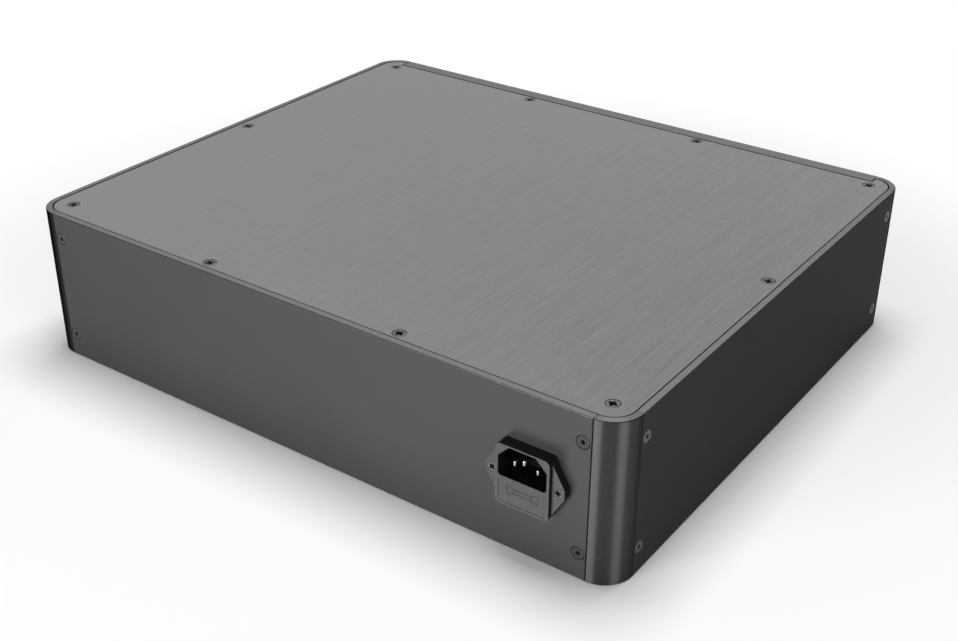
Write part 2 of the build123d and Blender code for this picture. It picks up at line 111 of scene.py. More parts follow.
# Screws
M4_SHANK = 0.004
M4_PITCH = 0.0007
M3_SHANK = 0.003
M3_PITCH = 0.0005
HEX_FLATS = 0.0025
CROSS_REACH = 0.68              # length of a cross recess, share of the head's width
CROSS_BLADE = 0.26              # width of its slots, share of the head's width
HEAD_LAND = 0.00025             # straight edge of a head, over its cone
HEAD_BREAK = 0.0001             # bevel round the head's top
RECESS_DEPTH = 0.0019
RECESS_TAPER = 0.68             # width of a recess at its bottom, against its mouth
END_BREAK = 0.0004              # bevel round the screw's end
SCREW_SIDES = 36
SCREW_TURN = 37                 # degrees from one screw's drive to the next one's
FIRST_TURN = 12
NECK = 1.5                      # pitches from the head to where the shank has thinned
THREAD_START = 1.6              # pitches from the head to the thread
PLAIN_PITCHES = 2.5             # pitches of the shank that bear no thread
THREAD_DEPTH = 0.61             # share of the pitch
THREAD_HALF = 0.44              # half of the ridge's width, share of the pitch
THREAD_FOOT = 0.00003           # how far the ridge stands in the core
THREAD_STEPS = 16               # for each turn

# Blades of the inlet
BAR_HEIGHT = 0.004
BAR_ROUND = 0.00015
BAR_SHARP = 1.2                 # radians past which its edges are rounded
TIP_ROUND = 0.0004
TIP_TAPER = 0.0015
TIP_SHARE = 0.68                # size of the tip's end, against the bar
TAB_LENGTH = 0.009
TAB_THICKNESS = 0.0008
TAB_CORNER = 0.001
TAB_LAP = 0.0004                # how far the tab reaches into the bar
TAB_HOLE = 0.0009
TAB_HOLE_INSET = 0.0035
HAIR = 1e-6                     # two places nearer than this are one

# Fuse sign on the drawer
SIGN_LINE = 0.00055
SIGN_RAISE = 0.0001
SIGN_CAP = (0.0052, 0.0050)     # width and height
SIGN_CAP_STEPS = 12             # round each cap's curved side
SIGN_SPREAD = 0.00715           # from the sign's middle to each cap's middle
SIGN_PLACE = (0.00075, -0.0078) # from the inlet's middle, towards -X and up
SIGN_RAILS = 0.0025             # between the two lines that join the caps
SIGN_LAP = 0.0004               # how far those lines reach into the caps

# Wires inside the fuses
WIRE_RADIUS = 0.00006
WIRE_END = 0.001                # length inside each cap
COIL_RADIUS = 0.0004
COIL_PITCH = 0.0006
COIL_STEPS = 14                 # for each turn
CAP_LENGTH = 0.0055


def set_inputs(made, values):
    """Sets inputs by name, where an underscore stands for a space."""
    for name, value in values.items():
        made.inputs[name.replace("_", " ")].default_value = value


def node(tree, kind, **settings):
    """A shader node with its settings: names of properties, or of inputs with their values."""
    made = tree.nodes.new(kind)
    for name, value in settings.items():
        if hasattr(made, name):
            setattr(made, name, value)
        else:
            set_inputs(made, {name: value})
    return made


def join(tree, source, target):
    """Links an output socket to an input socket."""
    tree.links.new(source, target)


def math_node(tree, operation, first, second=None):
    """Output of a maths node whose inputs are sockets or numbers."""
    made = node(tree, "ShaderNodeMath", operation=operation)
    for socket, value in zip(made.inputs, (first, second)):
        if isinstance(value, bpy.types.NodeSocket):
            join(tree, value, socket)
        elif value is not None:
            socket.default_value = value
    return made.outputs[0]


def spread(tree, value, low, high):
    """Spreads a value from 0 to 1 over a range."""
    made = node(tree, "ShaderNodeMapRange", To_Min=low, To_Max=high)
    join(tree, value, made.inputs["Value"])
    return made.outputs["Result"]


def spread_round(tree, value, middle, reach):
    """Spreads a value from 0 to 1 to both sides of a middle."""
    return spread(tree, value, middle - reach, middle + reach)


def ramp(tree, value, start, end, low=0.0, high=1.0):
    """Eases from low to high while a value runs from start to end."""
    made = node(tree, "ShaderNodeMapRange", interpolation_type="SMOOTHSTEP",
                From_Min=start, From_Max=end, To_Min=low, To_Max=high)
    join(tree, value, made.inputs["Value"])
    return made.outputs["Result"]


def parts_of(tree, vector):
    """X, Y and Z of a vector, as sockets by name."""
    made = node(tree, "ShaderNodeSeparateXYZ")
    join(tree, vector, made.inputs[0])
    return made.outputs


def normal_parts(tree):
    """X, Y and Z of the object's own normal, as sockets by name."""
    return parts_of(tree, node(tree, "ShaderNodeTexCoord").outputs["Normal"])


def new_group(name, inputs, outputs):
    """An empty node group with float outputs. An input without a value is a vector."""
    group = bpy.data.node_groups.new(name, "ShaderNodeTree")
    for label, value in inputs.items():
        kind = "NodeSocketVector" if value is None else "NodeSocketFloat"
        socket = group.interface.new_socket(label, in_out="INPUT", socket_type=kind)
        if value is not None:
            socket.default_value = value
    for label in outputs:
        group.interface.new_socket(label, in_out="OUTPUT", socket_type="NodeSocketFloat")
    source = group.nodes.new("NodeGroupInput")
    target = group.nodes.new("NodeGroupOutput")
    return group, source.outputs, target.inputs


def brushing_group():
    """Fine lines along the second axis, wider streaks, scattered short scratches, and slow patches."""
    group, given, result = new_group(
        "brushing", {"Vector": None, "Line Width": 0.0003, "Line Length": 0.03},
        ("Lines", "Streaks", "Scratches", "Patches"))
    parts = parts_of(group, given["Vector"])

    def lines(widening, shortening, detail):
        width = math_node(group, "MULTIPLY", given["Line Width"], widening)
        length = math_node(group, "DIVIDE", given["Line Length"], shortening)
        place = node(group, "ShaderNodeCombineXYZ")
        for label, size in (("X", width), ("Y", length), ("Z", width)):
            join(group, math_node(group, "DIVIDE", parts[label], size), place.inputs[label])
        noise = node(group, "ShaderNodeTexNoise", Scale=1.0, Detail=detail, Roughness=0.6)
        join(group, place.outputs[0], noise.inputs["Vector"])
        return noise.outputs["Fac"]

    patches = node(group, "ShaderNodeTexNoise", Scale=9.0, Detail=2.0)
    join(group, given["Vector"], patches.inputs["Vector"])
    join(group, lines(widening=1.0, shortening=1.0, detail=3.0), result["Lines"])
    join(group, lines(widening=3.5, shortening=0.3, detail=2.0), result["Streaks"])
    sparse = ramp(group, lines(widening=2.2, shortening=2.0, detail=1.0), start=0.56, end=0.74)
    gathered = math_node(group, "MULTIPLY", sparse, patches.outputs["Fac"])
    join(group, gathered, result["Scratches"])
    join(group, patches.outputs["Fac"], result["Patches"])
    return group


def grain_group():
    """Blasted grain: small pits, and slow cloudy patches over them."""
    group, given, result = new_group(
        "blasted_grain", {"Vector": None, "Grain Size": 0.0004, "Patch Size": 0.06}, ("Grain", "Patches"))
    for label, size, detail in (("Grain", "Grain Size", 2.0), ("Patches", "Patch Size", 4.0)):
        noise = node(group, "ShaderNodeTexNoise", Detail=detail, Roughness=0.55)
        join(group, math_node(group, "DIVIDE", 1.0, given[size]), noise.inputs["Scale"])
        join(group, given["Vector"], noise.inputs["Vector"])
        join(group, noise.outputs["Fac"], result[label])
    return group


def edge_highlight_group():
    """Mask of edges and corners, broken up in patches, for a painted highlight along them."""
    group, given, result = new_group(
        "painted_edge_highlight", {"Vector": None, "Reach": 0.0008}, ("Edges",))
    rounded = node(group, "ShaderNodeBevel", samples=6)
    join(group, given["Reach"], rounded.inputs["Radius"])
    surface = node(group, "ShaderNodeNewGeometry")
    product = node(group, "ShaderNodeVectorMath", operation="DOT_PRODUCT")
    join(group, rounded.outputs[0], product.inputs[0])
    join(group, surface.outputs["Normal"], product.inputs[1])
    edge = math_node(group, "SUBTRACT", 1.0, product.outputs["Value"])
    noise = node(group, "ShaderNodeTexNoise", Scale=350.0, Detail=3.0)
    join(group, given["Vector"], noise.inputs["Vector"])
    patchy_highlight = math_node(group, "MULTIPLY", edge, noise.outputs["Fac"])
    clamp = node(group, "ShaderNodeClamp")
    join(group, math_node(group, "MULTIPLY", patchy_highlight, EDGE_HIGHLIGHT_GAIN), clamp.inputs["Value"])
    join(group, clamp.outputs[0], result["Edges"])
    return group


BRUSHING = brushing_group()
GRAIN = grain_group()
EDGES = edge_highlight_group()


def new_material(name, metallic=0.0, roughness=0.5, **constants):
    """A material with its shader and its Object coordinates."""
    material = bpy.data.materials.new(name)
    material.use_nodes = True
    tree = material.node_tree
    shader = tree.nodes["Principled BSDF"]
    set_inputs(shader, {"Metallic": metallic, "Roughness": roughness, **constants})
    place = node(tree, "ShaderNodeTexCoord").outputs["Object"]
    return material, tree, shader, place


def place_group(tree, group, place, **values):
    """A shared effect in a material, with its own values."""
    made = node(tree, "ShaderNodeGroup")
    made.node_tree = group
    join(tree, place, made.inputs["Vector"])
    set_inputs(made, values)
    return made.outputs


def turned(tree, place, rotation):
    """Coordinates turned so that the pattern's second axis lies where the lines run."""
    mapping = node(tree, "ShaderNodeMapping", Rotation=rotation)
    join(tree, place, mapping.inputs["Vector"])
    return mapping.outputs[0]


def blended(tree, factor, first, second):
    """A colour between two, which are sockets or colours, by a factor socket."""
    mix = node(tree, "ShaderNodeMix", data_type="RGBA")
    join(tree, factor, mix.inputs["Factor"])
    for label, value in (("A", first), ("B", second)):
        socket = next(s for s in mix.inputs if s.name == label and s.type == "RGBA")
        if isinstance(value, bpy.types.NodeSocket):
            join(tree, value, socket)
        else:
            socket.default_value = (*value, 1.0)
    return next(s for s in mix.outputs if s.type == "RGBA")


def grey(tone):
    """A neutral colour of a tone."""
    return (tone, tone, tone)


def varied(tree, factor, tone, share):
    """A grey that a factor from 0 to 1 darkens and lightens by a share of its tone."""
    return blended(tree, factor, grey(tone * (1 - share)), grey(tone * (1 + share)))


def bump(tree, shader, pattern, depth):
    """Gives the shader a bump of a real depth."""
    made = node(tree, "ShaderNodeBump", Strength=1.0, Distance=depth)
    join(tree, pattern, made.inputs["Height"])
    join(tree, made.outputs[0], shader.inputs["Normal"])


def run_lines_along(tree, shader, axis):
    """Turns the shader's tangent round an axis of the object, which its stretched shine follows."""
    tangent = node(tree, "ShaderNodeTangent", direction_type="RADIAL", axis=axis)
    join(tree, tangent.outputs[0], shader.inputs["Tangent"])


def upper_faces(tree, place):
    """1 on the machined rim along the top, fading over its rounded edge to 0 below."""
    near_top = math_node(tree, "GREATER_THAN", parts_of(tree, place)["Z"], BOX_TOP - EDGE_ROUND)
    upward = ramp(tree, normal_parts(tree)["Z"], SLANTED_FACE, SQUARE_FACE)
    return math_node(tree, "MULTIPLY", near_top, upward)


def slanted_faces(tree):
    """1 on countersinks, chamfers and rounded edges, 0 on faces square to the box."""
    normal = normal_parts(tree)
    across, along, up = (math_node(tree, "ABSOLUTE", normal[label]) for label in ("X", "Y", "Z"))
    largest = math_node(tree, "MAXIMUM", math_node(tree, "MAXIMUM", across, along), up)
    return ramp(tree, largest, SLANTED_FACE, SQUARE_FACE, low=1.0, high=0.0)


def rounded_edge(tree):
    """1 on the rounded edges above and below an upright face."""
    return math_node(tree, "GREATER_THAN", math_node(tree, "ABSOLUTE", normal_parts(tree)["Z"]), EDGE_TILT)


def level_faces(tree):
    """1 on faces that look straight up or down, 0 on chamfers and cut edges."""
    return math_node(tree, "GREATER_THAN", math_node(tree, "ABSOLUTE", normal_parts(tree)["Z"]), LEVEL_FACE)


def machine_rim(tree, shader, place, marks, rim, base, metallic, rough):
    """Gives the shader a finish, and over it the paler machined rim along the top."""
    top = upper_faces(tree, place)
    machined = varied(tree, marks, rim, RIM_VARIES)
    join(tree, blended(tree, top, base, machined), shader.inputs["Base Color"])
    join(tree, spread(tree, top, metallic, RIM_METAL), shader.inputs["Metallic"])
    rougher = math_node(tree, "MULTIPLY", top, RIM_ROUGHER)
    join(tree, math_node(tree, "ADD", rough, rougher), shader.inputs["Roughness"])


def anodised(name, tone, metallic, roughness, rim=RIM_TONE):
    """Fine blasted aluminium, dyed dark, with a painted highlight along its edges, painted shade on its
    slanted faces and a machined rim where it reaches the top.
    """
    material, tree, shader, place = new_material(name, Specular_IOR_Level=0.05)
    set_inputs(shader, {"Specular Tint": (*grey(PANEL_EDGE_TINT), 1.0)})
    surface = place_group(tree, GRAIN, place, Grain_Size=0.00035, Patch_Size=0.07)
    edges = place_group(tree, EDGES, place, Reach=0.0005)
    base = varied(tree, surface["Patches"], tone, share=0.05)
    # painted highlight along the edges
    base = blended(tree, edges["Edges"], base, grey(tone * EDGE_HIGHLIGHT_SHARE))
    # painted shade on countersinks, chamfers and rounded edges
    base = blended(tree, slanted_faces(tree), base, grey(tone * SLANT_SHADE_SHARE))
    rough = spread_round(tree, surface["Patches"], roughness, reach=0.02)
    machine_rim(tree, shader, place, surface["Grain"], rim, base, metallic, rough)
    bump(tree, shader, surface["Grain"], depth=0.00002)
    return material


def extruded(name, tone, roughness):
    """Dyed extrusion drawn along Z, with painted shade on its rounded ends and a machined rim at the top.
    """
    material, tree, shader, place = new_material(
        name, Anisotropic=PILLAR_STRETCH, Anisotropic_Rotation=QUARTER_TURN)
    set_inputs(shader, {"Specular Tint": (*grey(PILLAR_EDGE_TINT), 1.0)})
    run_lines_along(tree, shader, "Z")
    drawn = turned(tree, place, ALONG_Z)
    surface = place_group(tree, BRUSHING, drawn, Line_Width=0.0004, Line_Length=0.08)
    base = varied(tree, surface["Lines"], tone, share=0.18)
    # painted shade on the rounded edges at the pillar's top and foot
    base = blended(tree, rounded_edge(tree), base, grey(tone * ROUND_SHADE_SHARE))
    rough = spread_round(tree, surface["Patches"], roughness, reach=0.03)
    machine_rim(tree, shader, place, surface["Lines"], RIM_TONE, base, 1.0, rough)
    bump(tree, shader, surface["Lines"], depth=0.000008)
    return material


def brush_marks(tree, place, surface):
    """Lines and streaks round 0.5, stronger on the sheet's -X side than on its +X side."""
    marks = math_node(tree, "ADD", surface["Lines"], surface["Streaks"])
    marks = math_node(tree, "SUBTRACT", math_node(tree, "MULTIPLY", marks, 0.5), 0.5)
    strength = ramp(tree, parts_of(tree, place)["X"], HEAVY_AT, LIGHT_AT, HEAVY_MARKS, LIGHT_MARKS)
    return math_node(tree, "ADD", math_node(tree, "MULTIPLY", marks, strength), 0.5)


def brushed(name, tone, metallic, roughness):
    """Aluminium sheet brushed along Y, with painted shade on its chamfers and edges, where the gap round it
    looks dark.
    """
    material, tree, shader, place = new_material(
        name, metallic=metallic, Anisotropic=SHEET_STRETCH, Anisotropic_Rotation=QUARTER_TURN)
    run_lines_along(tree, shader, "X")
    surface = place_group(tree, BRUSHING, place, Line_Width=0.00028, Line_Length=0.022)
    base = varied(tree, brush_marks(tree, place, surface), tone, MARKS_VARY)
    base = blended(tree, surface["Scratches"], base, grey(tone * SCRATCH_SHARE))
    # painted shade on chamfers and edges, where the gap round the sheet looks dark
    base = blended(tree, level_faces(tree), grey(GAP_SHADE_TONE), base)
    join(tree, base, shader.inputs["Base Color"])
    rough = spread_round(tree, surface["Lines"], roughness, reach=0.06)
    join(tree, rough, shader.inputs["Roughness"])
    bump(tree, shader, surface["Lines"], depth=0.000006)
    return material


def plated(name, colour, roughness, metallic=1.0):
    """Plated or polished part, with faint cloudy patches from handling."""
    material, tree, shader, place = new_material(name, metallic=metallic)
    surface = place_group(tree, GRAIN, place, Grain_Size=0.0006, Patch_Size=0.004)
    darker = tuple(part * CLOUD_SHARE for part in colour)
    join(tree, blended(tree, surface["Patches"], darker, colour), shader.inputs["Base Color"])
    rough = spread(tree, surface["Patches"], roughness - 0.06, roughness + 0.08)
    join(tree, rough, shader.inputs["Roughness"])
    bump(tree, shader, surface["Grain"], depth=0.000008)
    return material


def moulded(name, sheen_face_tone, wall_tone):
    """Black moulding whose outer faces are textured and carry a painted sheen, and whose walls are
    polished.
    """
    material, tree, shader, place = new_material(name, Specular_IOR_Level=0.13)
    surface = place_group(tree, GRAIN, place, Grain_Size=0.0003, Patch_Size=0.006)
    polished, textured = 0.35, 0.6
    outside = math_node(tree, "GREATER_THAN", parts_of(tree, place)["Y"], REAR_FACE)
    facing = math_node(tree, "GREATER_THAN", normal_parts(tree)["Y"], OUTER_FACE)
    face = math_node(tree, "MULTIPLY", outside, facing)
    # the outer faces' grey is a painted sheen over the black plastic
    tone = varied(tree, surface["Patches"], sheen_face_tone, share=0.15)
    join(tree, blended(tree, face, grey(wall_tone), tone), shader.inputs["Base Color"])
    join(tree, spread(tree, face, polished, textured), shader.inputs["Roughness"])
    bump(tree, shader, math_node(tree, "MULTIPLY", surface["Grain"], face), depth=0.00003)
    return material


def glass(name):
    """Clear glass tube with faint cloudiness."""
    material, tree, shader, place = new_material(name, Transmission_Weight=1.0, IOR=1.5)
    surface = place_group(tree, GRAIN, place, Grain_Size=0.001, Patch_Size=0.004)
    cloudy, clear = (0.93, 0.96, 0.95), grey(1.0)
    join(tree, blended(tree, surface["Patches"], cloudy, clear), shader.inputs["Base Color"])
    join(tree, spread(tree, surface["Patches"], 0.02, 0.08), shader.inputs["Roughness"])
    return material


def finishes():
    """Material of each slot in the record, of the painted shade in the drive recesses and of the fuse sign.
    """
    return {
        "panel": anodised("anodised_panel", tone=0.094, metallic=0.7, roughness=0.3),
        "pillar": extruded("extruded_pillar", tone=0.061, roughness=0.38),
        "brushed_cover": brushed("brushed_cover", tone=0.29, metallic=0.68, roughness=0.4),
        "plate": brushed("base_plate", tone=0.12, metallic=0.8, roughness=0.45),
        "rail": anodised("mill_rail", tone=0.35, metallic=0.9, roughness=0.4, rim=0.35),
        "dark_screw": plated("cover_screw", (0.24, 0.24, 0.243), roughness=0.42),
        "socket_screw": plated("dyed_screw", (0.08, 0.08, 0.082), roughness=0.42),
        "plated_screw": plated("zinc_screw", (0.18, 0.18, 0.184), roughness=0.42),
        "inlet_plastic": moulded("inlet_moulding", sheen_face_tone=0.09, wall_tone=0.005),
        "drawer_plastic": moulded("drawer_moulding", sheen_face_tone=0.087, wall_tone=0.005),
        "contact": plated("tinned_brass", (0.62, 0.55, 0.4), roughness=0.35),
        "blade": plated("nickel_blade", (0.5, 0.49, 0.47), roughness=0.22),
        "fuse_glass": glass("fuse_glass"),
        "fuse_cap": plated("nickel_cap", (0.72, 0.71, 0.68), roughness=0.25),
        # painted shade for the drive recesses, whose metal is as bright as the head's
        "recess": plated("painted_recess_shade", (0.012, 0.012, 0.013), roughness=0.6, metallic=0.0),
        "sign": plated("polished_sign", (0.02, 0.02, 0.021), roughness=0.3, metallic=0.0),
    }


def dress_nodes(materials):
    """Gives each solid the finish that the record names for it."""
    for entry in frame["record"]["subparts"]:
        mesh = frame["nodes"][entry["node"]].data
        mesh.materials.clear()
        mesh.materials.append(materials[entry["material_slot"]])


def islands(name):
    """Boxes of a solid's separate pieces, as (low, high) corners in a fixed order."""
    bm = bmesh.new()
    bm.from_mesh(frame["nodes"][name].data)
    bmesh.ops.remove_doubles(bm, verts=bm.verts, dist=HAIR)
    left = set(bm.verts)
    boxes = []
    while left:
        group = [left.pop()]
        for vert in group:
            for edge in vert.link_edges:
                other = edge.other_vert(vert)
                if other in left:
                    left.discard(other)
                    group.append(other)
        axes = list(zip(*(v.co for v in group)))
        boxes.append((Vector(map(min, axes)), Vector(map(max, axes))))
    bm.free()
    return sorted(boxes, key=lambda box: tuple(round(c, 5) for c in box[0]))


def only_verts(geometry):
    """The vertices in what an operator made."""
    return [part for part in geometry if isinstance(part, bmesh.types.BMVert)]


def edges_round(verts):
    """Edges that touch some vertices, each once."""
    return list(dict.fromkeys(edge for vert in verts for edge in vert.link_edges))


def closed_line(bm, verts):
    """Edges that join vertices in a ring."""
    return [bm.edges.new(pair) for pair in zip(verts, verts[1:] + verts[:1])]


def edges_at(bm, height):
    """Edges that lie at a height."""
    return [e for e in bm.edges if all(abs(v.co.z - height) < HAIR for v in e.verts)]


def fill(bm, edges):
    """Fills a flat outline, less the holes in it, with faces."""
    return bmesh.ops.triangle_fill(bm, use_beauty=True, edges=edges)["geom"]


def cross_outline(head):
    """Outline of a cross recess for a head of that width."""
    reach, blade = head * CROSS_REACH / 2, head * CROSS_BLADE / 2
    quarter = [(reach, -blade), (reach, blade), (blade, blade)]
    turns = [Matrix.Rotation(math.radians(90) * k, 2) for k in range(4)]
    return [tuple(turn @ Vector(point)) for turn in turns for point in quarter]


def hex_outline(_):
    """Outline of a socket for a hexagon key, the same for every head."""
    radius = HEX_FLATS / math.sqrt(3)
    return [(radius * math.cos(math.radians(60 * k)), radius * math.sin(math.radians(60 * k)))
            for k in range(6)]


def turn_profile(bm, line):
    """Turns a line of (radius, height) points about the Z axis."""
    verts = [bm.verts.new((radius, 0, height)) for radius, height in line]
    edges = [bm.edges.new(pair) for pair in zip(verts, verts[1:])]
    bmesh.ops.spin(
        bm, geom=verts + edges, cent=(0, 0, 0), axis=(0, 0, 1), angle=math.tau,
        steps=SCREW_SIDES, use_merge=True)


def sink_recess(bm, outline):
    """Closes a screw's head round a drive recess, whose faces get the second material, a painted shade."""
    rim = edges_at(bm, 0.0)
    mouth = closed_line(bm, [bm.verts.new((x, y, 0.0)) for x, y in outline])
    fill(bm, rim + mouth)
    low = only_verts(bmesh.ops.extrude_edge_only(bm, edges=mouth)["geom"])
    bmesh.ops.translate(bm, verts=low, vec=(0, 0, -RECESS_DEPTH))
    bmesh.ops.scale(bm, verts=low, vec=(RECESS_TAPER, RECESS_TAPER, 1))
    fill(bm, edges_at(bm, -RECESS_DEPTH))
    for vert in low:
        for face in vert.link_faces:
            face.material_index = 1


def add_thread(bm, root, crest, pitch, top, turns):
    """Helical ridge round a screw's core."""
    inner, half = root - THREAD_FOOT, pitch * THREAD_HALF
    verts = [bm.verts.new(p) for p in ((inner, 0, top + half), (crest, 0, top), (inner, 0, top - half))]
    edges = closed_line(bm, verts)
    spun = bmesh.ops.spin(
        bm, geom=verts + edges, cent=(0, 0, 0), axis=(0, 0, 1), angle=math.tau * turns,
        dvec=(0, 0, -pitch / THREAD_STEPS), steps=THREAD_STEPS * turns)
    bm.faces.new(verts)
    bm.faces.new(only_verts(spun["geom_last"]))


def screw_mesh(head, shank, length, pitch, outline):
    """Countersunk screw that points down, with its head's top at the origin."""
    bm = bmesh.new()
    root = shank / 2 - THREAD_DEPTH * pitch
    seat = HEAD_LAND + (head - shank) / 2
    turn_profile(bm, [
        (head / 2 - HEAD_BREAK, 0.0), (head / 2, -HEAD_BREAK), (head / 2, -HEAD_LAND),
        (shank / 2, -seat), (shank / 2, -seat - pitch), (root, -seat - NECK * pitch),
        (root, -length + END_BREAK), (root - END_BREAK, -length)])
    fill(bm, edges_at(bm, -length))
    sink_recess(bm, outline(head))
    turns = int((length - seat - PLAIN_PITCHES * pitch) / pitch)
    add_thread(bm, root, shank / 2, pitch, -seat - THREAD_START * pitch, turns)
    bmesh.ops.recalc_face_normals(bm, faces=bm.faces)
    mesh = bpy.data.meshes.new("screw")
    bm.to_mesh(mesh)
    bm.free()
    return mesh


def new_piece(name, bm, body, slot, *materials):
    """Turns a bmesh into a piece that rides on a body and wears its materials."""
    mesh = bpy.data.meshes.new(name)
    bm.to_mesh(mesh)
    bm.free()
    for material in materials:
        mesh.materials.append(material)
    piece = bpy.data.objects.new(name, mesh)
    bpy.context.scene.collection.objects.link(piece)
    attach(piece, body)
    return piece


def smooth_below(bm, angle):
    """Smooths the shading except over edges sharper than an angle, in degrees."""
    for face in bm.faces:
        face.smooth = True
    for edge in bm.edges:
        edge.smooth = edge.calc_face_angle(0.0) < math.radians(angle)


def add_screws(name, solid, outward, sizes, outline, slot, materials):
    """Detailed screws where a node of plain ones stands."""
    shank, pitch = sizes
    axis = max(range(3), key=lambda k: abs(outward[k]))
    across = (axis + 1) % 3
    stand = Vector((0, 0, 1)).rotation_difference(outward).to_matrix().to_4x4()
    boxes = islands(solid)
    low, high = boxes[0]
    single = screw_mesh(high[across] - low[across], shank, high[axis] - low[axis], pitch, outline)
    joined = bmesh.new()
    for index, (low, high) in enumerate(boxes):
        top = (low + high) / 2
        top[axis] = high[axis] if outward[axis] > 0 else low[axis]
        first = len(joined.verts)
        joined.from_mesh(single)
        joined.verts.ensure_lookup_table()
        turn = Matrix.Rotation(math.radians(SCREW_TURN * index + FIRST_TURN), 4, "Z")
        bmesh.ops.transform(
            joined, matrix=Matrix.Translation(top) @ stand @ turn, verts=joined.verts[first:])
    smooth_below(joined, angle=35)
    piece = new_piece(name, joined, "chassis", slot, materials[slot], materials["recess"])
    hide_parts(solid)


def add_all_screws(materials):
    """Every screw that shows on the box."""
    m4, m3 = (M4_SHANK, M4_PITCH), (M3_SHANK, M3_PITCH)
    up, rear, left = Vector((0, 0, 1)), Vector((0, 1, 0)), Vector((-1, 0, 0))
    add_screws("cover_screw_set", "top_cover_screws", up, m4, cross_outline, "dark_screw", materials)
    add_screws("base_screw_set", "bottom_plate_screws", -up, m4, cross_outline, "dark_screw", materials)
    add_screws("rear_screw_set", "rear_panel_screws", rear, m4, hex_outline, "socket_screw", materials)
    add_screws("left_screw_set", "left_side_screws", left, m4, hex_outline, "socket_screw", materials)
    add_screws("right_screw_set", "right_side_screws", -left, m4, hex_outline, "socket_screw", materials)
    add_screws("inlet_screw_set", "inlet_screws", rear, m3, cross_outline, "plated_screw", materials)


def block(bm, low, high):
    """Box between two corners."""
    made = bmesh.ops.create_cube(bm, size=1.0)["verts"]
    bmesh.ops.scale(bm, verts=made, vec=high - low)
    bmesh.ops.translate(bm, verts=made, vec=(low + high) / 2)


def round_off(bm, edges, radius, segments):
    """Rounds edges."""
    bmesh.ops.bevel(
        bm, geom=edges, offset=radius, affect="EDGES", segments=segments, profile=0.5, material=-1)


def add_bar(bm, low, high, back):
    """Bar of a blade from its tab to its rounded, tapered tip."""
    middle = (low + high) / 2
    half = BAR_HEIGHT / 2
    end = high.y - TIP_TAPER
    block(bm, Vector((low.x, back, middle.z - half)), Vector((high.x, end, middle.z + half)))
    front = [f for f in bm.faces if all(v.co.y > end - HAIR for v in f.verts)]
    tip = only_verts(bmesh.ops.extrude_face_region(bm, geom=front)["geom"])
    bmesh.ops.delete(bm, geom=front, context="FACES_ONLY")
    bmesh.ops.translate(bm, verts=tip, vec=(0, TIP_TAPER, 0))
    centre = Matrix.Translation((middle.x, high.y, middle.z))
    bmesh.ops.scale(bm, verts=tip, vec=(TIP_SHARE, 1, TIP_SHARE), space=centre.inverted())
    bmesh.ops.recalc_face_normals(bm, faces=bm.faces)
    taper = [e for e in bm.edges if all(v.co.y > end - HAIR for v in e.verts)]
    round_off(bm, taper, TIP_ROUND, segments=3)
    sharp = [e for e in bm.edges if e.calc_face_angle(0.0) > BAR_SHARP]
    round_off(bm, sharp, BAR_ROUND, segments=2)


def add_tab(bm, low, high, back):
    """Thin drilled tab of a blade, behind the housing."""
    side = (low.x + high.x - TAB_THICKNESS) / 2
    front = back + TAB_LAP
    outline = [(low.y, low.z + TAB_CORNER), (low.y + TAB_CORNER, low.z), (front, low.z),
               (front, high.z), (low.y + TAB_CORNER, high.z), (low.y, high.z - TAB_CORNER)]
    rim = closed_line(bm, [bm.verts.new((side, y, z)) for y, z in outline])
    centre = Matrix.Translation((side, low.y + TAB_HOLE_INSET, (low.z + high.z) / 2))
    hole = bmesh.ops.create_circle(
        bm, cap_ends=False, radius=TAB_HOLE, segments=20,
        matrix=centre @ Matrix.Rotation(math.radians(90), 4, "Y"))["verts"]
    sheet = fill(bm, rim + edges_round(hole))
    faces = [part for part in sheet if isinstance(part, bmesh.types.BMFace)]
    raised = bmesh.ops.extrude_face_region(bm, geom=faces, use_keep_orig=True)["geom"]
    bmesh.ops.translate(bm, verts=only_verts(raised), vec=(TAB_THICKNESS, 0, 0))


def add_blade(name, solid, materials):
    """Blade with a rounded tip, and a drilled tab behind the housing."""
    low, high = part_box(solid)
    back = low.y + TAB_LENGTH
    bm = bmesh.new()
    add_bar(bm, low, high, back)
    add_tab(bm, low, high, back)
    bmesh.ops.recalc_face_normals(bm, faces=bm.faces)
    smooth_below(bm, angle=50)
    piece = new_piece(name, bm, "chassis", "blade", materials["blade"])
    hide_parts(solid)


def cap_outline(middle, side):
    """A D whose round side looks towards the sign's middle."""
    width, height = SIGN_CAP
    radius = height / 2
    flat = width / 2
    points = [(flat, -radius), (flat, radius)]
    for k in range(SIGN_CAP_STEPS + 1):
        a = math.radians(90 + 180 / SIGN_CAP_STEPS * k)
        points.append((radius - flat + radius * math.cos(a), radius * math.sin(a)))
    return [(middle + side * x, z) for x, z in points]


def raise_line(bm, outline, place):
    """A raised line that follows a closed outline on the drawer's face."""
    x, y, z = place
    face = bm.faces.new([bm.verts.new((x + a, y, z + b)) for a, b in outline])
    bm.normal_update()
    ring = bmesh.ops.inset_region(bm, faces=[face], thickness=SIGN_LINE, use_boundary=True)["faces"]
    bm.normal_update()
    bmesh.ops.delete(bm, geom=[face], context="FACES_ONLY")
    raised = bmesh.ops.extrude_face_region(bm, geom=ring, use_keep_orig=True)["geom"]
    bmesh.ops.translate(bm, verts=only_verts(raised), vec=(0, SIGN_RAISE, 0))


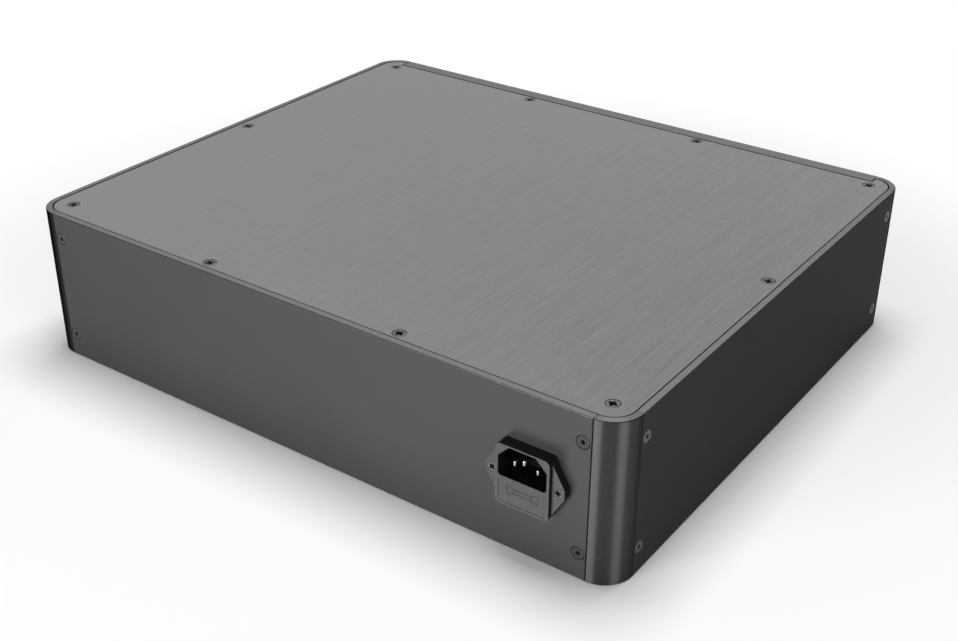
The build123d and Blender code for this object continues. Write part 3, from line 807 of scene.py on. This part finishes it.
def add_fuse_sign(materials):
    """Cartridge fuse sign raised on the drawer: two caps joined by two lines."""
    low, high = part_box("inlet_housing")
    middle = (low + high) / 2
    place = (middle.x - SIGN_PLACE[0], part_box("fuse_drawer")[1].y, middle.z + SIGN_PLACE[1])
    bm = bmesh.new()
    for side in (-1, 1):
        raise_line(bm, cap_outline(side * SIGN_SPREAD, side), place)
    reach = SIGN_SPREAD - SIGN_CAP[0] / 2 + SIGN_LAP
    for side in (-1, 1):
        z = place[2] + side * SIGN_RAILS / 2
        block(bm, Vector((place[0] - reach, place[1], z - SIGN_LINE / 2)),
              Vector((place[0] + reach, place[1] + SIGN_RAISE, z + SIGN_LINE / 2)))
    bmesh.ops.recalc_face_normals(bm, faces=bm.faces)
    new_piece("fuse_sign", bm, "drawer", "drawer_plastic", materials["sign"])


def add_fuse_wire(name, solid, materials):
    """Fine coiled wire inside a fuse's glass, from cap to cap."""
    low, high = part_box(solid)
    middle = (low + high) / 2
    inset = CAP_LENGTH - WIRE_END
    start = low.x + inset
    turns = round((high.x - low.x - 2 * inset) / COIL_PITCH)
    bm = bmesh.new()
    circle = bmesh.ops.create_circle(
        bm, cap_ends=False, radius=WIRE_RADIUS, segments=6,
        matrix=Matrix.Translation((start, middle.y + COIL_RADIUS, middle.z)))["verts"]
    spun = bmesh.ops.spin(
        bm, geom=circle + edges_round(circle), cent=(start, middle.y, middle.z), axis=(1, 0, 0),
        angle=math.tau * turns, dvec=(COIL_PITCH / COIL_STEPS, 0, 0), steps=COIL_STEPS * turns)
    bm.faces.new(circle)
    bm.faces.new(only_verts(spun["geom_last"]))
    bmesh.ops.recalc_face_normals(bm, faces=bm.faces)
    smooth_below(bm, angle=70)
    new_piece(name, bm, "drawer", "fuse_cap", materials["fuse_cap"])


def add_pieces(materials):
    """Small pieces that the solids have in a plain form or not at all."""
    add_all_screws(materials)
    for name in ("line", "neutral", "earth"):
        add_blade(name + "_tip_blade", name + "_blade", materials)
    add_fuse_sign(materials)
    add_fuse_wire("fuse_wire", "fuse_glass", materials)
    add_fuse_wire("spare_fuse_wire", "spare_fuse_glass", materials)


def seen_directly(tree):
    """1 for rays from the camera, a reflection or through glass, 0 for soft bounces."""
    path = node(tree, "ShaderNodeLightPath").outputs
    direct = math_node(tree, "MAXIMUM", path["Is Camera Ray"], path["Is Glossy Ray"])
    return math_node(tree, "MAXIMUM", direct, path["Is Transmission Ray"])


def add_floor():
    """Pale floor that keeps the object's shadow and turns plain white further out."""
    bpy.ops.mesh.primitive_plane_add(size=FLOOR_SIZE, location=(0, 0, -FLOOR_DROP))
    floor = bpy.context.object
    floor.name = "floor"
    material, tree, shader, place = new_material("pale_floor", roughness=1.0, Specular_IOR_Level=0.0)
    direct = seen_directly(tree)
    join(tree, blended(tree, direct, grey(BOUNCE_TONE), grey(FLOOR_TONE)), shader.inputs["Base Color"])
    away = node(tree, "ShaderNodeVectorMath", operation="LENGTH")
    join(tree, place, away.inputs[0])
    fade = ramp(tree, away.outputs["Value"], SWEEP_START, SWEEP_END)
    white = node(tree, "ShaderNodeEmission", Strength=1.0)
    mix = node(tree, "ShaderNodeMixShader")
    join(tree, math_node(tree, "MULTIPLY", direct, fade), mix.inputs["Fac"])
    join(tree, shader.outputs[0], mix.inputs[1])
    join(tree, white.outputs[0], mix.inputs[2])
    join(tree, mix.outputs[0], tree.nodes["Material Output"].inputs["Surface"])
    floor.data.materials.append(material)


def add_world():
    """White backdrop that fades towards the ceiling, and a plain level of soft light from it."""
    world = bpy.data.worlds.new("studio")
    world.use_nodes = True
    bpy.context.scene.world = world
    tree = world.node_tree
    fade = node(tree, "ShaderNodeMapRange", From_Min=math.sin(BACKDROP_TOP),
                From_Max=math.sin(CEILING_START), To_Min=1.0, To_Max=CEILING)
    upward = parts_of(tree, node(tree, "ShaderNodeTexCoord").outputs["Generated"])["Z"]
    join(tree, upward, fade.inputs["Value"])
    shown = math_node(tree, "MULTIPLY", seen_directly(tree), fade.outputs["Result"])
    background = tree.nodes["Background"]
    background.inputs["Color"].default_value = (1.0, 1.0, 1.0, 1.0)
    join(tree, math_node(tree, "MAXIMUM", shown, AMBIENT), background.inputs["Strength"])


def add_softbox(name, heading, elevation, distance, size, power):
    """An oblong lamp that faces the object from a heading, in degrees from +X towards +Y."""
    lamp = bpy.data.lights.new(name, "AREA")
    lamp.shape = "RECTANGLE"
    lamp.size, lamp.size_y = size
    lamp.energy = power
    holder = bpy.data.objects.new(name, lamp)
    a, e = math.radians(heading), math.radians(elevation)
    out = Vector((math.cos(a) * math.cos(e), math.sin(a) * math.cos(e), math.sin(e)))
    middle = Vector((0, 0, BOX_TOP / 2))
    holder.location = middle + out * distance
    holder.rotation_mode = "QUATERNION"
    holder.rotation_quaternion = out.to_track_quat("Z", "Y")
    bpy.context.scene.collection.objects.link(holder)


def add_lamps():
    """One big lamp overhead, a key on the rear face and a narrow one on the side."""
    add_softbox("overhead", heading=-90, elevation=82, distance=2.2, size=(1.25, 1.25), power=43)
    add_softbox("rear_key", heading=81, elevation=7, distance=2.0, size=(1.1, 0.36), power=41)
    add_softbox("side_strip", heading=155, elevation=6, distance=1.6, size=(0.62, 0.3), power=10)


def add_camera():
    """Camera at the photograph's place."""
    data = bpy.data.cameras.new("camera")
    data.lens = FOCAL_LENGTH
    data.clip_start = 0.01
    camera = bpy.data.objects.new("camera", data)
    camera.location = CAMERA_PLACE
    camera.rotation_mode = "QUATERNION"
    aim = (CAMERA_TARGET - CAMERA_PLACE).to_track_quat("-Z", "Y")
    camera.rotation_quaternion = aim @ Quaternion((0, 0, 1), CAMERA_ROLL)
    bpy.context.scene.collection.objects.link(camera)
    bpy.context.scene.camera = camera


bpy.context.scene.view_settings.view_transform = "Standard"
materials = finishes()
dress_nodes(materials)
add_pieces(materials)
add_floor()
add_world()
add_lamps()
add_camera()
